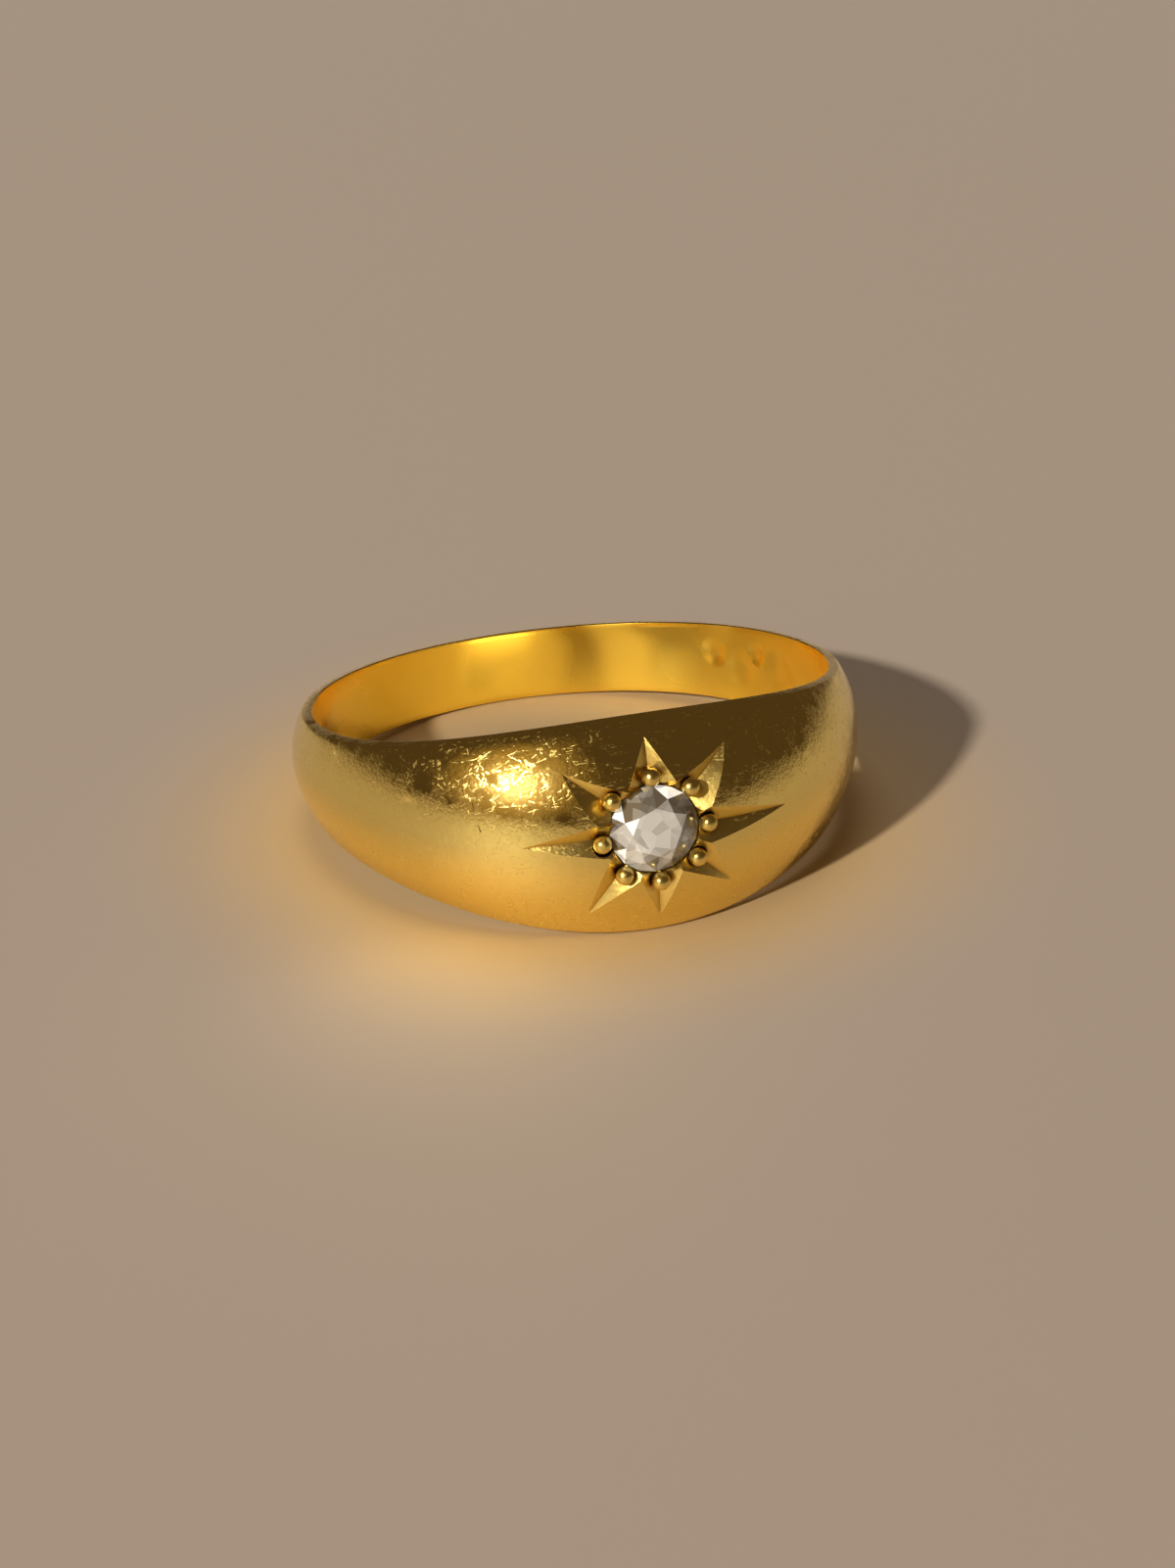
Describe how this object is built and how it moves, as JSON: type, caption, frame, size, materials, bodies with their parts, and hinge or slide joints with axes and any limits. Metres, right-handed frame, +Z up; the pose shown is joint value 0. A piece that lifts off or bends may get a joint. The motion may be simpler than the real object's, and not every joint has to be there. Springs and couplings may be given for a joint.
{
  "type": "flush set gypsy ring",
  "caption": "Tapered gold band with a wide domed head, and a round diamond sunk into it among engraved star cuts, each with a small grain that holds the stone.",
  "frame": {"origin": "on the surface that the ring lies on, below the middle of its overall box", "axes": "+Z up from that surface; -Y towards the head and its stone; +Y towards the back of the band; +X to the right as seen from the head"},
  "size_m": [0.019, 0.0198, 0.0072],
  "materials": {
    "gold": "polished, with fine scratches from wear",
    "diamond": "polished facets"
  },
  "bodies": {
    "root": {"band": "gold", "diamond": "diamond"}
  },
  "joints": []
}
